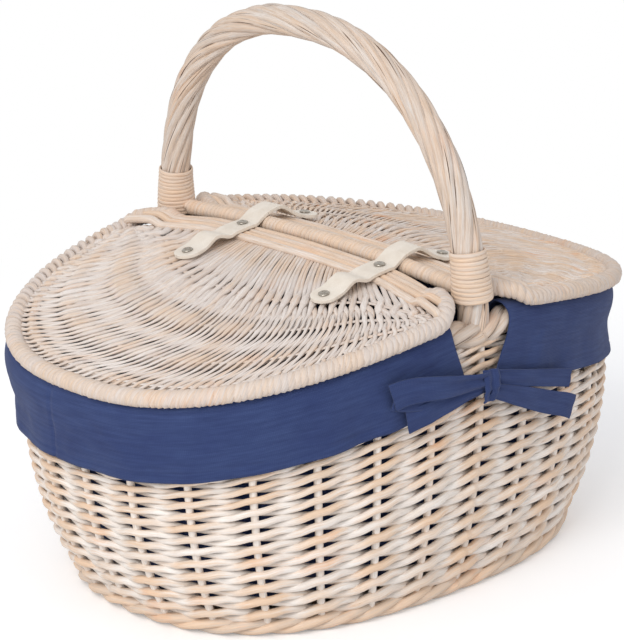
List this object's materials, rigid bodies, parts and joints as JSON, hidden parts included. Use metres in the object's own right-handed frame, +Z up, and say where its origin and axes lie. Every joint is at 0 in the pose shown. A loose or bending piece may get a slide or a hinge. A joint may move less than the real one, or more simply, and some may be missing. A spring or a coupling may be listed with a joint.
{
  "type": "lidded picnic basket",
  "caption": "Oval woven willow picnic basket with hinged half lids on leather straps, a fixed arched carrying handle and a tied cloth liner.",
  "frame": {"origin": "middle of the oval on the ground, under the middle of the handle", "axes": "+X along the oval from the left lid to the right lid, +Y across it along the handle and the wrapped bar to the far handle foot, +Z up"},
  "size_m": [0.4494, 0.3458, 0.3877],
  "materials": {
    "willow": "peeled willow rods with a thin lime wash, matt",
    "white_willow": "lime-washed willow rods, matt",
    "cane": "split cane, slight sheen",
    "leather": "smooth cream leather, satin",
    "rivet_steel": "nickel-plated, polished",
    "navy_cotton": "plain-woven cotton, matt"
  },
  "bodies": {
    "basket": {"foot_wale": "willow", "base_weave": "willow", "side_weave": "white_willow", "rim_border": "willow", "handle_core": "willow", "handle_rods": "willow", "handle_binding_near": "cane", "handle_binding_far": "cane", "centre_bar_core": "willow", "centre_bar_wrap": "cane", "strap_near_crown": "leather", "strap_far_crown": "leather", "liner_bag": "navy_cotton", "liner_cuff_left": "navy_cotton", "liner_cuff_right": "navy_cotton", "liner_tie_near": "navy_cotton", "liner_tie_far": "navy_cotton"},
    "lid_left": {"lid_left_hoop": "willow", "lid_left_bar": "cane", "lid_left_weave": "white_willow", "strap_near_left_tab": "leather", "strap_far_left_tab": "leather", "rivet_near_left": "rivet_steel", "rivet_near_middle": "rivet_steel", "rivet_far_left": "rivet_steel", "rivet_far_middle": "rivet_steel"},
    "lid_right": {"lid_right_hoop": "willow", "lid_right_bar": "cane", "lid_right_weave": "white_willow", "strap_near_right_tab": "leather", "strap_far_right_tab": "leather", "rivet_near_right": "rivet_steel", "rivet_far_right": "rivet_steel"}
  },
  "joints": [
    {"name": "lid_left_hinge", "type": "hinge", "parent": "basket", "child": "lid_left", "pos_m": [-0.012, 0, 0.225], "axis": [0, 1, 0], "range_deg": [0, 93]},
    {"name": "lid_right_hinge", "type": "hinge", "parent": "basket", "child": "lid_right", "pos_m": [0.012, 0, 0.225], "axis": [0, -1, 0], "range_deg": [0, 93]}
  ]
}
